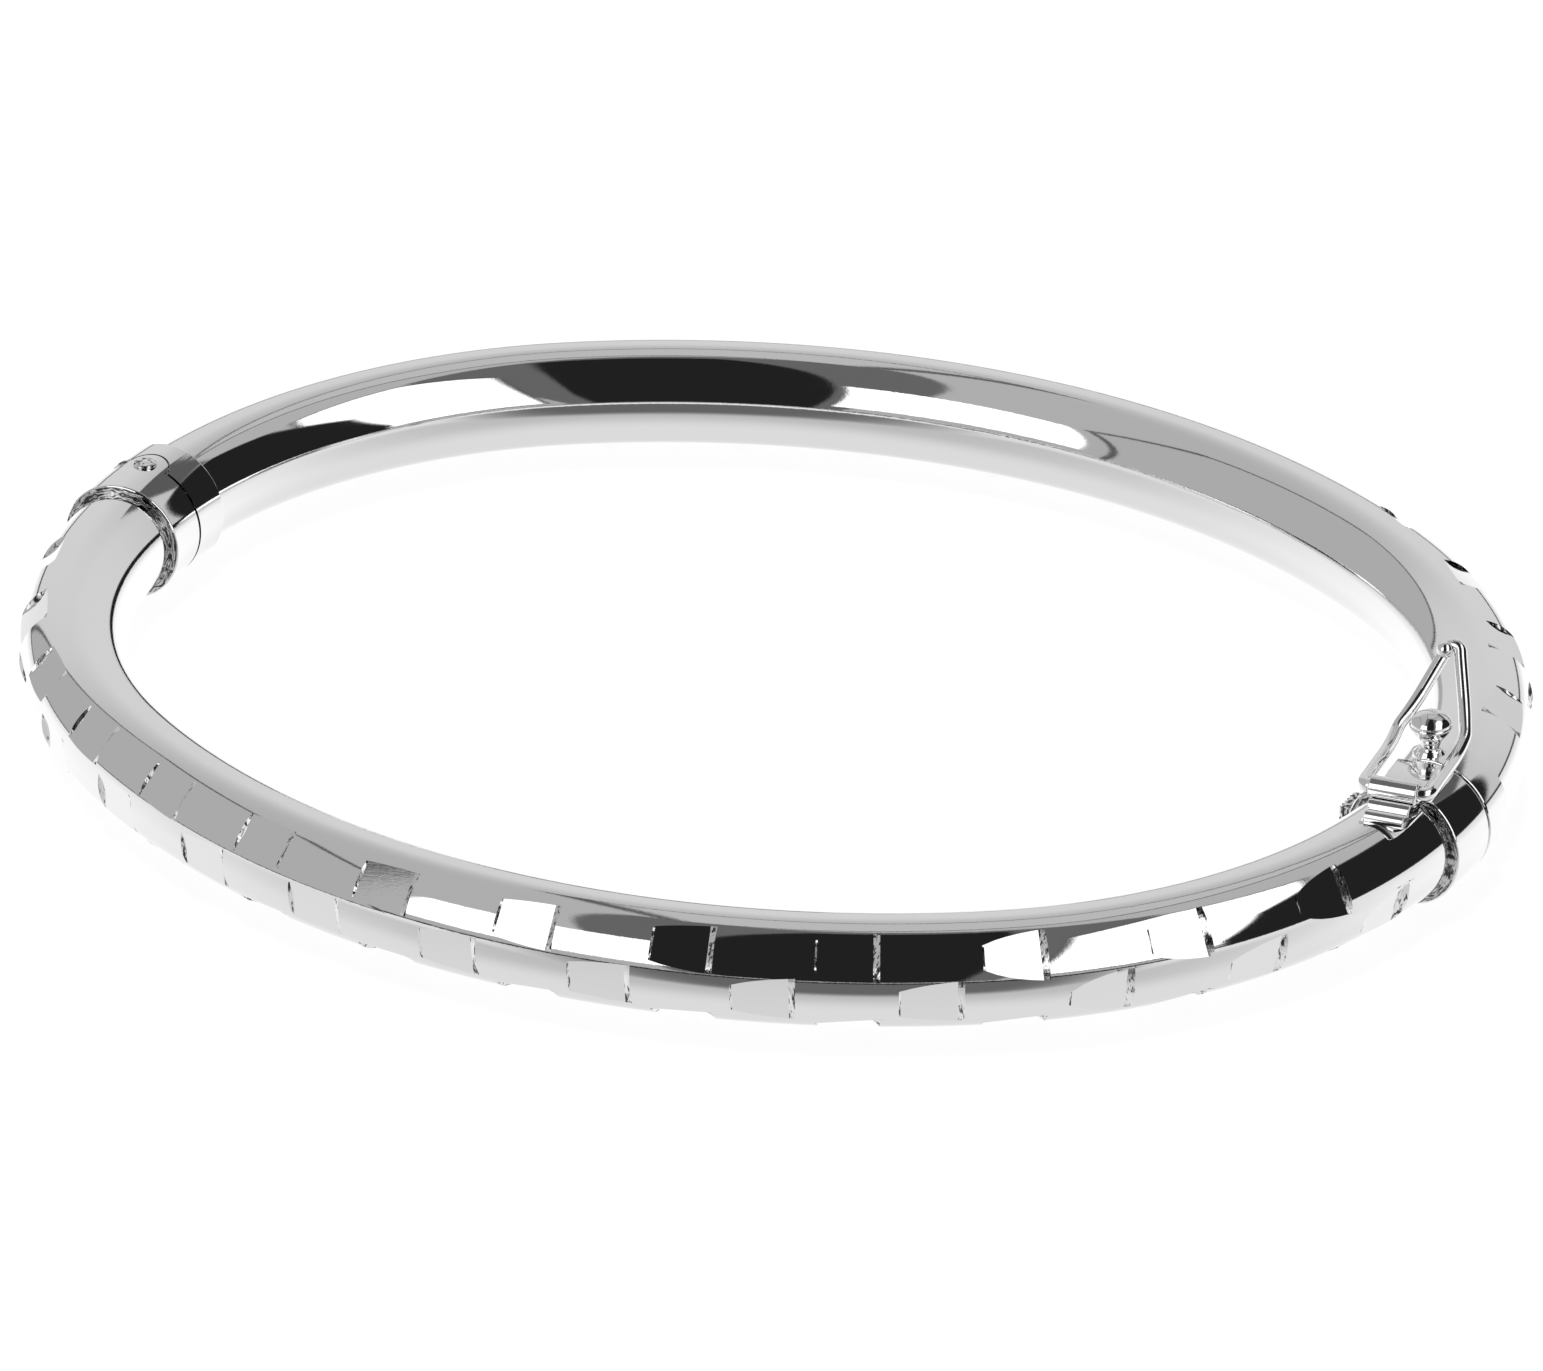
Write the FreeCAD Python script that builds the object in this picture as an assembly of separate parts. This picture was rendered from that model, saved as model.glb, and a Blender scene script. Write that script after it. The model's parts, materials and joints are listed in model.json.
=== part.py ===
"""Hinged oval tube bangle with bright-cut facets, a box clasp and a safety loop.

Frame: +Z up, origin at the middle of the oval on the surface that the bangle lies on.
The hinge seam is at -X, the clasp seam at +X. The rear half (+Y) carries the tongue and
the safety knob; the front half (-Y) carries the clasp box and the safety loop.
"""
import FreeCAD, Part
import os
from math import atan2, cos, degrees, pi, radians, sin

V = FreeCAD.Vector
UP = V(0, 0, 1)

# ---- driving dimensions (mm) -------------------------------------------------------------
HALF_LENGTH = 33.0        # centreline of the oval, along X
HALF_WIDTH = 27.7         # centreline of the oval, along Y
END_RADIUS = 25.4         # centreline radius of the two end arcs
TUBE_R = 2.5
TUBE_WALL = 0.4
COLLAR_R = 2.9
SEAM_GAP = 0.04           # each half stands this far back from the seam plane
COLLAR_CHAMFER = 0.12

HINGE_COLLAR_REAR = 2.4   # lengths along the tube
HINGE_COLLAR_FRONT = 2.6
CLASP_COLLAR_REAR = 2.1
CLASP_COLLAR_FRONT = 2.78
HINGE_SOCKET = 1.6        # seam to the end of the tube inside a hinge collar
CLASP_SOCKET = 1.0
SPIGOT = 2.0              # how far a plug reaches into its tube

OPEN_ANGLE = 30.0         # how far the front half swings
RELIEF_SPARE = 2.0        # the two outer reliefs add up to the swing and this much more
NOTCH_REAR = 22.0         # outer relief on the rear half, degrees about the pin
BEVEL_FRONT = OPEN_ANGLE + RELIEF_SPARE - NOTCH_REAR
PIN_R = 0.40
PIN_HEAD_R = 0.55
PIN_CLEARANCE = 0.03
EAR_R = 1.10              # front ears, above and below the rear leaf
LEAF_R = 1.20             # rear leaf, between the ears
LEAF_HALF = 0.95

FACET_LENGTH = 2.7
FACET_DEPTH = 0.2
ROW_STEP = 50.0           # degrees round the tube between rows of facets
FRONT_ROW_TOP = 41.0      # middle of the top row, degrees above the outer equator
FRONT_ROW_FALL = 14.0     # the front rows sink by this much over the last part of the half
FRONT_FALL_START = 66.0   # distance from the hinge seam
FRONT_FALL_OVER = 30.0
REAR_ROW_TOP = 55.0
REAR_ROW_SINK = 25.0      # the rear rows sink by this much
REAR_SINK_START = 24.0    # distance from the clasp seam
REAR_SINK_OVER = 9.0
REAR_PITCH = 6.25
FRONT_FLATS = 13          # flats in each front row
REAR_FLATS = 14           # in the outer rear rows; the middle one has one fewer
FRONT_FIRST = 8.05        # hinge seam to the middle of the first front flat
FRONT_PITCH = 5.1         # front pitch at the hinge, before it opens out
PITCH_GROWTH = 0.19
GROWTH_EASE = 0.0065

TONGUE_HALF = 0.75        # half width, along Z
LEAF_IN = 0.30            # the two leaves of the folded tongue lie between these offsets
LEAF_OUT = 0.60
FOLD_Y = -3.9
BOX_CAVITY = (0.85, 0.95)  # half sizes along X and Z
BOX_WALL = 0.25
BOX_END = -4.95
NOTCH_HALF = 0.95         # notch for the thumb pad, half width and reach from the seam
NOTCH_REACH = 2.35
PAD_HALF = 0.8

WIRE_R = 0.30
LOOP_HALF = 1.55          # half width to the middle of the wire
LOOP_CORNER = 0.42
LOOP_FLAT = 3.4           # level part, then it turns up towards the tip
LOOP_BEND_R = 4.6
LOOP_BEND = 48.0
LOOP_TAPER_START = 5.4    # lengths along the loop
LOOP_LENGTH = 9.2
LOOP_TIP_R = 0.34
BEAD_R = 0.38
BEAD_SEAT = 0.2           # height of the bead's flat seat above the middle of the wire
KNUCKLE_R = 0.525
KNUCKLE_HALF = 1.12
KNUCKLE_AT = (33.0, -4.1, 3.38)   # above the middle plane of the tube
KNUCKLE_TURN = 6.0        # the knuckle's axis in plan, degrees from +X

KNOB_AT = (32.5, 0.9)
KNOB_R = 0.98
KNOB_HALF_HEIGHT = 0.66
KNOB_MIDDLE = 4.2         # above the middle plane of the tube
STEM_R = 0.42
SEAT_R = 0.78

# ---- worked out from them ----------------------------------------------------------------
MID = COLLAR_R            # height of the tube's middle plane above the surface
END_CENTRE = HALF_LENGTH - END_RADIUS
SIDE_RADIUS = (END_CENTRE**2 + HALF_WIDTH**2 - END_RADIUS**2) / (2 * (HALF_WIDTH - END_RADIUS))
SIDE_CENTRE = SIDE_RADIUS - HALF_WIDTH
JOIN_ANGLE = degrees(atan2(SIDE_CENTRE, END_CENTRE))
END_ARC = END_RADIUS * radians(JOIN_ANGLE)
SIDE_ARC = SIDE_RADIUS * radians(180 - 2 * JOIN_ANGLE)
HALF_PERIMETER = 2 * END_ARC + SIDE_ARC
BORE_R = TUBE_R - TUBE_WALL
KNUCKLE = V(KNUCKLE_AT[0], KNUCKLE_AT[1], KNUCKLE_AT[2] + MID)
LOOP_SIDE = V(cos(radians(KNUCKLE_TURN)), sin(radians(KNUCKLE_TURN)), 0)
LOOP_AHEAD = UP.cross(LOOP_SIDE)


def station(distance, side):
    """Centre, outward normal and direction of travel at a distance from the clasp seam."""
    if distance <= END_ARC:
        cx, cy, radius, angle = END_CENTRE, 0.0, END_RADIUS, distance / END_RADIUS
    elif distance <= END_ARC + SIDE_ARC:
        cx, cy, radius = 0.0, -SIDE_CENTRE, SIDE_RADIUS
        angle = radians(JOIN_ANGLE) + (distance - END_ARC) / SIDE_RADIUS
    else:
        cx, cy, radius = -END_CENTRE, 0.0, END_RADIUS
        angle = pi - (HALF_PERIMETER - distance) / END_RADIUS
    normal = V(cos(angle), side * sin(angle), 0)
    travel = V(-sin(angle), side * cos(angle), 0)
    return V(cx, side * cy, MID) + normal * radius, normal, travel


def bent_bar(cx, cy, radius, start, end, outer, inner=0.0):
    """Round bar or tube along an arc about (cx, cy); start and end in degrees."""
    angle = radians(start)
    at = V(cx + radius * cos(angle), cy + radius * sin(angle), MID)
    along = V(-sin(angle), cos(angle), 0)
    wires = [Part.Wire(Part.makeCircle(outer, at, along))]
    if inner > 0:
        wires.append(Part.Wire(Part.makeCircle(inner, at, along)))
    face = Part.makeFace(wires, "Part::FaceMakerBullseye")
    return face.revolve(V(cx, cy, 0), UP, end - start)


def at_clasp(side, start, end, outer, inner=0.0):
    """Bar or tube on the end arc, by distance from the clasp seam."""
    angles = sorted(degrees(side * d / END_RADIUS) for d in (start, end))
    return bent_bar(END_CENTRE, 0, END_RADIUS, angles[0], angles[1], outer, inner)


def at_hinge(side, start, end, outer, inner=0.0):
    """The same from the hinge seam."""
    angles = sorted(180 - degrees(side * d / END_RADIUS) for d in (start, end))
    return bent_bar(-END_CENTRE, 0, END_RADIUS, angles[0], angles[1], outer, inner)


def box(x0, x1, y0, y1, z0, z1, origin=V(0, 0, 0)):
    return Part.makeBox(x1 - x0, y1 - y0, z1 - z0, origin + V(x0, y0, z0))


def joined(pieces):
    whole = pieces[0].multiFuse(pieces[1:]) if len(pieces) > 1 else pieces[0]
    whole = whole.removeSplitter()
    return whole.Solids[0] if len(whole.Solids) == 1 else whole


def chamfered(ring, centre):
    """Break the outer edge of a collar at the end whose middle is given."""
    edges = [e for e in ring.Edges
             if hasattr(e, "Curve") and isinstance(e.Curve, Part.Circle)
             and abs(e.Curve.Radius - COLLAR_R) < 1e-6
             and (e.Curve.Center - centre).Length < 1e-4]
    return ring.makeChamfer(COLLAR_CHAMFER, edges) if edges else ring


# ---- tubes and their facets --------------------------------------------------------------
def plain_tube(side):
    """Half of the oval, from inside the clasp collar to inside the hinge collar."""
    first = degrees(CLASP_SOCKET / END_RADIUS)
    last = 180 - degrees(HINGE_SOCKET / END_RADIUS)
    arcs = [(END_CENTRE, 0, END_RADIUS, first, JOIN_ANGLE),
            (0, -SIDE_CENTRE, SIDE_RADIUS, JOIN_ANGLE, 180 - JOIN_ANGLE),
            (-END_CENTRE, 0, END_RADIUS, 180 - JOIN_ANGLE, last)]
    tube = joined([bent_bar(*arc, TUBE_R, BORE_R) for arc in arcs])
    return tube if side > 0 else tube.mirror(V(0, 0, 0), V(0, 1, 0))


def facet_cutter(middle, lift, side):
    """Block that planes one flat, at a distance from the clasp and an angle round the tube."""
    centre, normal, travel = station(middle, side)
    out = normal * cos(radians(lift)) + UP * sin(radians(lift))
    across = travel.cross(out) * -side
    turn = FreeCAD.Rotation(travel * side, across * side, out, "ZXY")
    block = Part.makeBox(FACET_LENGTH, 5.0, 1.0,
                         V(-FACET_LENGTH / 2, -2.5, TUBE_R - FACET_DEPTH))
    block.Placement = FreeCAD.Placement(centre, turn)
    return block


def front_facets():
    """Middle of each flat on the front half; the pitch opens out towards the clasp."""
    def from_hinge(i):
        return FRONT_FIRST + FRONT_PITCH * i + PITCH_GROWTH * i**2 - GROWTH_EASE * i**3
    def top_row(mark):
        return FRONT_ROW_TOP - FRONT_ROW_FALL * max(0.0, (mark - FRONT_FALL_START) / FRONT_FALL_OVER)
    for i in range(FRONT_FLATS):
        mark = from_hinge(i)
        yield HALF_PERIMETER - mark, top_row(mark)
        yield HALF_PERIMETER - mark, top_row(mark) - 2 * ROW_STEP
        between = from_hinge(i + 0.5)
        yield HALF_PERIMETER - between, top_row(between) - ROW_STEP


def rear_facets():
    """The same three rows on the rear half, evenly pitched; past the clasp end they sink."""
    for i in range(REAR_FLATS):
        middle = REAR_PITCH * (i + 1) + FACET_LENGTH / 2
        sunk = min(1.0, max(0.0, (middle - REAR_SINK_START) / REAR_SINK_OVER))
        top = REAR_ROW_TOP - REAR_ROW_SINK * sunk
        yield middle, top
        yield middle, top - 2 * ROW_STEP
        if i < REAR_FLATS - 1:
            yield middle + REAR_PITCH / 2, top - ROW_STEP


def cut_tube(side):
    marks = rear_facets() if side > 0 else front_facets()
    tube = plain_tube(side)
    return tube.cut([facet_cutter(middle, lift, side) for middle, lift in marks])


# ---- hinge -------------------------------------------------------------------------------
HINGE = V(-HALF_LENGTH, 0, MID)


def pin_cylinder(radius, low, high):
    return Part.makeCylinder(radius, high - low, HINGE + V(0, 0, low))


def outer_wedge(angle, side):
    """Sector about the pin, from the seam plane towards one half, on the outer side."""
    reach = 8.0
    edge = V(-reach * cos(radians(angle)), side * reach * sin(radians(angle)), 0)
    low = V(HINGE.x, 0, MID - 5)
    points = [low, low + V(-reach, 0, 0), low + V(-reach, edge.y, 0), low + edge, low]
    return Part.Face(Part.makePolygon(points)).extrude(V(0, 0, 10))


def front_hinge_region():
    """Where the front half may have metal near the hinge: ears above and below the leaf."""
    region = box(-8, 8, -8, -SEAM_GAP, -5, 5, HINGE).cut(outer_wedge(BEVEL_FRONT, -1))
    ears = [pin_cylinder(EAR_R, LEAF_HALF + 0.05, 5), pin_cylinder(EAR_R, -5, -LEAF_HALF - 0.05)]
    region = region.multiFuse(ears)
    pocket = pin_cylinder(LEAF_R + 0.07, -LEAF_HALF - 0.05, LEAF_HALF + 0.05)
    head = pin_cylinder(PIN_HEAD_R, 2.8, 5)
    return region.cut([pocket, pin_cylinder(PIN_R, -5, 5), head])


def rear_hinge_region():
    """Where the rear half may have metal: recesses for the ears, and the middle leaf."""
    region = box(-8, 8, SEAM_GAP, 8, -5, 5, HINGE).cut(outer_wedge(NOTCH_REAR, 1))
    recess = EAR_R + 0.05
    region = region.cut([pin_cylinder(recess, LEAF_HALF, 5), pin_cylinder(recess, -5, -LEAF_HALF)])
    region = region.fuse(pin_cylinder(LEAF_R, -LEAF_HALF, LEAF_HALF))
    return region.cut(pin_cylinder(PIN_R + PIN_CLEARANCE, -5, 5))


def hinge_pieces(side):
    """Collar and plug of one half; both are shaped by the same region round the pin."""
    length = HINGE_COLLAR_REAR if side > 0 else HINGE_COLLAR_FRONT
    region = rear_hinge_region() if side > 0 else front_hinge_region()
    ring = at_hinge(side, -1.4, length, COLLAR_R, TUBE_R)
    end, _, _ = station(HALF_PERIMETER - length, side)
    ring = chamfered(ring, end)
    plug = at_hinge(side, -1.4, HINGE_SOCKET, TUBE_R)
    plug = plug.fuse(at_hinge(side, HINGE_SOCKET, HINGE_SOCKET + SPIGOT, BORE_R))
    return ring.common(region), plug.common(region)


def hinge_pin():
    shaft = pin_cylinder(PIN_R, -2.84, 2.85)
    head = pin_cylinder(PIN_HEAD_R, 2.8, 2.93)
    dome_height = 0.12
    dome_r = (PIN_HEAD_R**2 + dome_height**2) / (2 * dome_height)
    dome = Part.makeSphere(dome_r, HINGE + V(0, 0, 2.93 + dome_height - dome_r))
    dome = dome.common(pin_cylinder(PIN_HEAD_R, 2.93, 4))
    return joined([shaft, head, dome])


# ---- box clasp ---------------------------------------------------------------------------
CLASP = V(HALF_LENGTH, 0, MID)


def clasp_collar(side):
    length = CLASP_COLLAR_REAR if side > 0 else CLASP_COLLAR_FRONT
    end, _, _ = station(length, side)
    return chamfered(at_clasp(side, SEAM_GAP, length, COLLAR_R, TUBE_R), end)


def clasp_plug(side):
    plug = at_clasp(side, SEAM_GAP, CLASP_SOCKET, TUBE_R)
    return plug.fuse(at_clasp(side, CLASP_SOCKET, CLASP_SOCKET + 1.2, BORE_R))


def pad_notch():
    return box(-4, -0.7, -NOTCH_REACH, 0.5, -NOTCH_HALF, NOTCH_HALF, CLASP)


def box_block(grow, mouth):
    """The clasp box's cavity, grown by a wall, out to a mouth at or past the seam."""
    half_x, half_z = BOX_CAVITY[0] + grow, BOX_CAVITY[1] + grow
    end = BOX_END + BOX_WALL - grow
    return box(-half_x, half_x, end, mouth, -half_z, half_z, CLASP)


def clasp_box():
    return box_block(BOX_WALL, -SEAM_GAP - 0.01).cut([box_block(0.0, 0.5), pad_notch()])


def base_leaf():
    """Fixed leaf of the folded tongue, with the fold at its tip."""
    leaf = box(LEAF_IN, LEAF_OUT, FOLD_Y, 1.4, -TONGUE_HALF, TONGUE_HALF, CLASP)
    at = CLASP + V(0, FOLD_Y, -TONGUE_HALF)
    fold = Part.makeCylinder(LEAF_OUT, 2 * TONGUE_HALF, at)
    fold = fold.cut(Part.makeCylinder(LEAF_IN, 2 * TONGUE_HALF, at))
    fold = fold.common(box(-1, 1, FOLD_Y - 1, FOLD_Y, -1, 1, CLASP))
    return joined([leaf, fold])


def spring_leaf():
    """Springing leaf: from the fold back towards the seam, then out through the notch."""
    leaf = box(-LEAF_OUT, -LEAF_IN, FOLD_Y + 0.03, -0.5, -TONGUE_HALF, TONGUE_HALF, CLASP)
    riser = box(-2.95, -LEAF_IN, -0.85, -0.5, -0.6, 0.6, CLASP)
    return joined([leaf, riser])


def thumb_pad():
    """Pad on the riser, with cross grooves for the thumbnail and eased ends."""
    low, high, front, back = -3.55, -2.95, -2.2, -0.5
    pad = box(low, high, front, back, -PAD_HALF, PAD_HALF, CLASP)
    pad = pad.makeFillet(0.2, [e for e in pad.Edges if e.BoundBox.XMax < CLASP.x + low + 1e-6])
    grooves = []
    count, depth = 5, 0.13
    for i in range(count):
        y = front + (back - front) * (i + 0.5) / count
        points = [V(low - 0.01, y - depth, -2), V(low + depth, y, -2),
                  V(low - 0.01, y + depth, -2), V(low - 0.01, y - depth, -2)]
        face = Part.Face(Part.makePolygon([CLASP + p for p in points]))
        grooves.append(face.extrude(V(0, 0, 4)))
    return pad.cut(grooves)


# ---- safety catch ------------------------------------------------------------------------
def loop_point(across, ahead, above):
    return KNUCKLE + LOOP_SIDE * across + LOOP_AHEAD * ahead + UP * above


def profile_point(length):
    """Side view of the loop: level, then an arc upwards, then straight to the tip."""
    if length <= LOOP_FLAT:
        return length, 0.0
    bend = min((length - LOOP_FLAT) / LOOP_BEND_R, radians(LOOP_BEND))
    rest = length - LOOP_FLAT - bend * LOOP_BEND_R
    return (LOOP_FLAT + LOOP_BEND_R * sin(bend) + rest * cos(bend),
            LOOP_BEND_R * (1 - cos(bend)) + rest * sin(bend))


def half_width(length):
    if length <= LOOP_TAPER_START:
        return LOOP_HALF
    share = (length - LOOP_TAPER_START) / (LOOP_LENGTH - LOOP_TAPER_START)
    return LOOP_HALF + (LOOP_TIP_R - LOOP_HALF) * share


def loop_side(sign):
    """Centreline of one side of the loop, from its corner to the start of the tip."""
    steps = 10
    lengths = [LOOP_CORNER + (LOOP_LENGTH - LOOP_CORNER) * i / steps for i in range(steps + 1)]
    return [loop_point(sign * half_width(q), *profile_point(q)) for q in lengths]


def rod(path, radius):
    start = path.Edges[0]
    at = start.valueAt(start.FirstParameter)
    along = start.tangentAt(start.FirstParameter)
    section = Part.Wire(Part.makeCircle(radius, at, along))
    return path.makePipeShell([section], True, False)


def smooth_edge(points, first, last):
    curve = Part.BSplineCurve()
    curve.interpolate(points, InitialTangent=first, FinalTangent=last)
    return curve.toShape()


def safety_loop():
    """One closed wire: through the knuckle, out round both corners, and up to the tip."""
    pieces = [Part.makeCylinder(WIRE_R, 2 * (LOOP_HALF - LOOP_CORNER),
                                loop_point(-(LOOP_HALF - LOOP_CORNER), 0, 0), LOOP_SIDE)]
    for sign in (1, -1):
        turn_centre = loop_point(sign * (LOOP_HALF - LOOP_CORNER), LOOP_CORNER, 0)
        start = loop_point(sign * (LOOP_HALF - LOOP_CORNER), 0, 0)
        face = Part.Face(Part.Wire(Part.makeCircle(WIRE_R, start, LOOP_SIDE)))
        pieces.append(face.revolve(turn_centre, UP * sign, 90))
        side = loop_side(sign)
        path = Part.Wire(smooth_edge(side, LOOP_AHEAD, side[-1] - side[-2]))
        pieces.append(rod(path, WIRE_R))
    left, right = loop_side(-1)[-1], loop_side(1)[-1]
    ahead, above = profile_point(LOOP_LENGTH + LOOP_TIP_R)
    top = loop_point(0, ahead, above)
    arc = Part.Wire(Part.Arc(left, top, right).toShape())
    pieces.append(rod(arc, WIRE_R))
    for joint in (left, right):
        pieces.append(Part.makeSphere(WIRE_R, joint))
    seat, over = bead_seat()
    return joined(pieces).cut(Part.makeCylinder(BEAD_R, 1.0, seat, over))


def bead_seat():
    """Middle of the flat under the bead, at the left end of the tip, and its outward normal."""
    bend = radians(LOOP_BEND)
    over = LOOP_SIDE.cross(LOOP_AHEAD * cos(bend) + UP * sin(bend))
    return loop_side(-1)[-1] + over * BEAD_SEAT, over


def tip_bead():
    """Solder bead: half a ball on its seat."""
    seat, over = bead_seat()
    return Part.makeSphere(BEAD_R, seat).common(Part.makeCylinder(BEAD_R + 0.1, 1.0, seat, over))


def knuckle():
    start = loop_point(-KNUCKLE_HALF, 0, 0)
    tube = Part.makeCylinder(KNUCKLE_R, 2 * KNUCKLE_HALF, start, LOOP_SIDE)
    return tube.cut(Part.makeCylinder(WIRE_R + 0.03, 2 * KNUCKLE_HALF, start, LOOP_SIDE))


def local_block(w0, w1, f0, f1, u0, u1):
    block = Part.makeBox(w1 - w0, f1 - f0, u1 - u0)
    turn = FreeCAD.Rotation(LOOP_SIDE, LOOP_AHEAD, UP, "ZXY")
    block.Placement = FreeCAD.Placement(loop_point(w0, f0, u0), turn)
    return block


def saddle():
    """Strap under the knuckle: a plate on the collar, a pillar and two rolled folds."""
    plate = local_block(-1.05, 1.05, -0.2, 3.55, -0.75, -0.30)
    pillar = local_block(-1.0, 1.0, -1.1, 0.35, -1.3, -0.42)
    roll = Part.makeCylinder(0.38, 2.0, loop_point(-1.0, -0.62, -0.62), LOOP_SIDE)
    foot = Part.makeCylinder(0.32, 1.8, loop_point(-0.9, -1.32, -0.8), LOOP_SIDE)
    strap = joined([plate, pillar, roll, foot])
    under = [at_clasp(-1, 0, CLASP_COLLAR_FRONT, COLLAR_R),
             at_clasp(-1, CLASP_COLLAR_FRONT, 9, TUBE_R),
             Part.makeCylinder(KNUCKLE_R, 4, loop_point(-2, 0, 0), LOOP_SIDE)]
    return strap.cut(under)


def knob_axis(low):
    return V(KNOB_AT[0], KNOB_AT[1], MID + low)


def safety_knob():
    """Oblate head on a stem that is riveted through the rear clasp collar."""
    head = Part.makeSphere(1.0)
    squash = FreeCAD.Matrix()
    squash.scale(V(KNOB_R, KNOB_R, KNOB_HALF_HEIGHT))
    head = head.transformGeometry(squash)
    head.translate(knob_axis(KNOB_MIDDLE))
    stem = Part.makeCylinder(STEM_R, KNOB_MIDDLE - 2.5, knob_axis(2.5))
    return joined([head, stem])


def knob_seat():
    seat = Part.makeCone(SEAT_R, STEM_R + 0.12, 0.5, knob_axis(2.62))
    hole = Part.makeCylinder(STEM_R, 2, knob_axis(2))
    return seat.cut([at_clasp(1, 0, CLASP_COLLAR_REAR + 1, COLLAR_R), hole])


# ---- everything --------------------------------------------------------------------------
def build():
    rear_ring, rear_plug = hinge_pieces(1)
    front_ring, front_plug = hinge_pieces(-1)
    notch = pad_notch()
    tongue = base_leaf()
    stem = Part.makeCylinder(STEM_R, 3, knob_axis(2.5))
    return {
        "rear_tube": cut_tube(1),
        "rear_hinge_collar": rear_ring,
        "rear_hinge_leaf": rear_plug,
        "rear_clasp_collar": clasp_collar(1).cut(stem),
        "rear_clasp_plug": clasp_plug(1).cut(tongue),
        "tongue_base_leaf": tongue,
        "safety_knob": safety_knob(),
        "safety_knob_seat": knob_seat(),
        "front_tube": cut_tube(-1).cut(notch),
        "front_hinge_collar": front_ring,
        "front_hinge_ears": front_plug,
        "hinge_pin": hinge_pin(),
        "front_clasp_collar": clasp_collar(-1).cut(notch),
        "front_clasp_plug": clasp_plug(-1).cut([box_block(BOX_WALL, 0.5), notch]),
        "clasp_box": clasp_box(),
        "safety_saddle": saddle(),
        "safety_knuckle": knuckle(),
        "safety_loop": safety_loop(),
        "safety_tip_bead": tip_bead(),
        "tongue_spring_leaf": spring_leaf(),
        "thumb_pad": thumb_pad(),
    }


os.makedirs("parts", exist_ok=True)
for name, shape in build().items():
    solids = shape.Solids
    if len(solids) == 1:
        shape = solids[0]
    shape.exportStep(f"parts/{name}.step")
    print(f"{name:22s} solids {len(solids)} valid {shape.isValid()} volume {shape.Volume:8.3f}")
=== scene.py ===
import json
from math import acos, atan2, cos, hypot, pi, radians, sin, sqrt

import bmesh
import bpy
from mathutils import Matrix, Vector


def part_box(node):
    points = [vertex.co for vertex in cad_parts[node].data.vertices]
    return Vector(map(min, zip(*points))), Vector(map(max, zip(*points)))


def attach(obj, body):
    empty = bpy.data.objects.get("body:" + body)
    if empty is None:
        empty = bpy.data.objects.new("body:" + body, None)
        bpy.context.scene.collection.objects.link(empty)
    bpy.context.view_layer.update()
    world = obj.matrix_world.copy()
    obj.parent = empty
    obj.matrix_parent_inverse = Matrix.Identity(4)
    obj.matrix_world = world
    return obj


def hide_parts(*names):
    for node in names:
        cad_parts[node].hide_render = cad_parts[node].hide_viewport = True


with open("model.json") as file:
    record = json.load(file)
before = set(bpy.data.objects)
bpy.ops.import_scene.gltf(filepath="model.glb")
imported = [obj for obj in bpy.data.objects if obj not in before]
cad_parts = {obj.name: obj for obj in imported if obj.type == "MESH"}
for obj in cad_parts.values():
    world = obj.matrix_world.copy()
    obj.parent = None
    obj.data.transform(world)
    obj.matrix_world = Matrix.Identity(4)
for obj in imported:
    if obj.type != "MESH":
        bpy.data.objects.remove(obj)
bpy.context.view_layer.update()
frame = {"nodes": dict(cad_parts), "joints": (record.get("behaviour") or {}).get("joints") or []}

# Hinged oval tube bangle. Lengths are in millimetres in this script and become metres
# when a mesh is made. +X points to the clasp, -X to the hinge, +Y to the rear half.
MM = 0.001
UP = Vector((0, 0, 1))


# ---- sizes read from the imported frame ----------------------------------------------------
def box_mm(node):
    low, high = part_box(node)
    return low / MM, high / MM


def joint(name):
    return next(j for j in frame["joints"] if j["name"] == name)


def height_of(node):
    low, high = box_mm(node)
    return high.z - low.z


TUBE_R = height_of("rear_tube") / 2
COLLAR_R = height_of("rear_clasp_collar") / 2
HINGE = Vector(joint("bangle_hinge")["pos_m"]) / MM
CLASP = Vector((-HINGE.x, 0, HINGE.z))
MID = HINGE.z
KNUCKLE = Vector(joint("safety_loop_hinge")["pos_m"]) / MM
LOOP_SIDE = Vector(joint("safety_loop_hinge")["axis"]).normalized()
LOOP_AHEAD = UP.cross(LOOP_SIDE)
KNOB_LOW, KNOB_HIGH = box_mm("safety_knob")
KNOB_CENTRE = (KNOB_LOW + KNOB_HIGH) / 2

# ---- the design's own sizes (mm and degrees), as in the CAD model ------------------------
HALF_LENGTH = -HINGE.x
HALF_WIDTH = 27.7
END_RADIUS = 25.4
BORE_R = 2.1
SEAM_GAP = 0.04
SEAM_EASE = 0.04          # the hinge collars' seam edges are eased back by this much
COLLAR_ROUND = 0.12
HINGE_COLLAR_REAR, HINGE_COLLAR_FRONT = 2.4, 2.6
CLASP_COLLAR_REAR, CLASP_COLLAR_FRONT = 2.1, 2.78
HINGE_SOCKET, CLASP_SOCKET = 1.6, 1.0
NOTCH_REAR, BEVEL_FRONT = 22.0, 10.0
EAR_R, LEAF_HALF = 1.10, 0.95
EAR_RECESS, EAR_SHRINK = 0.07, 0.03      # room left in the rear collar round the ears
PIN_R, PIN_HEAD_R, PIN_TOP, PIN_END = 0.40, 0.55, 2.80, 2.84
NOTCH_HALF, NOTCH_REACH = 0.95, 2.35     # notch for the thumb pad
FACET_LENGTH, FACET_DEPTH = 2.7, 0.2
ROW_STEP = 50.0           # degrees round the tube between rows of facets
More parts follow.
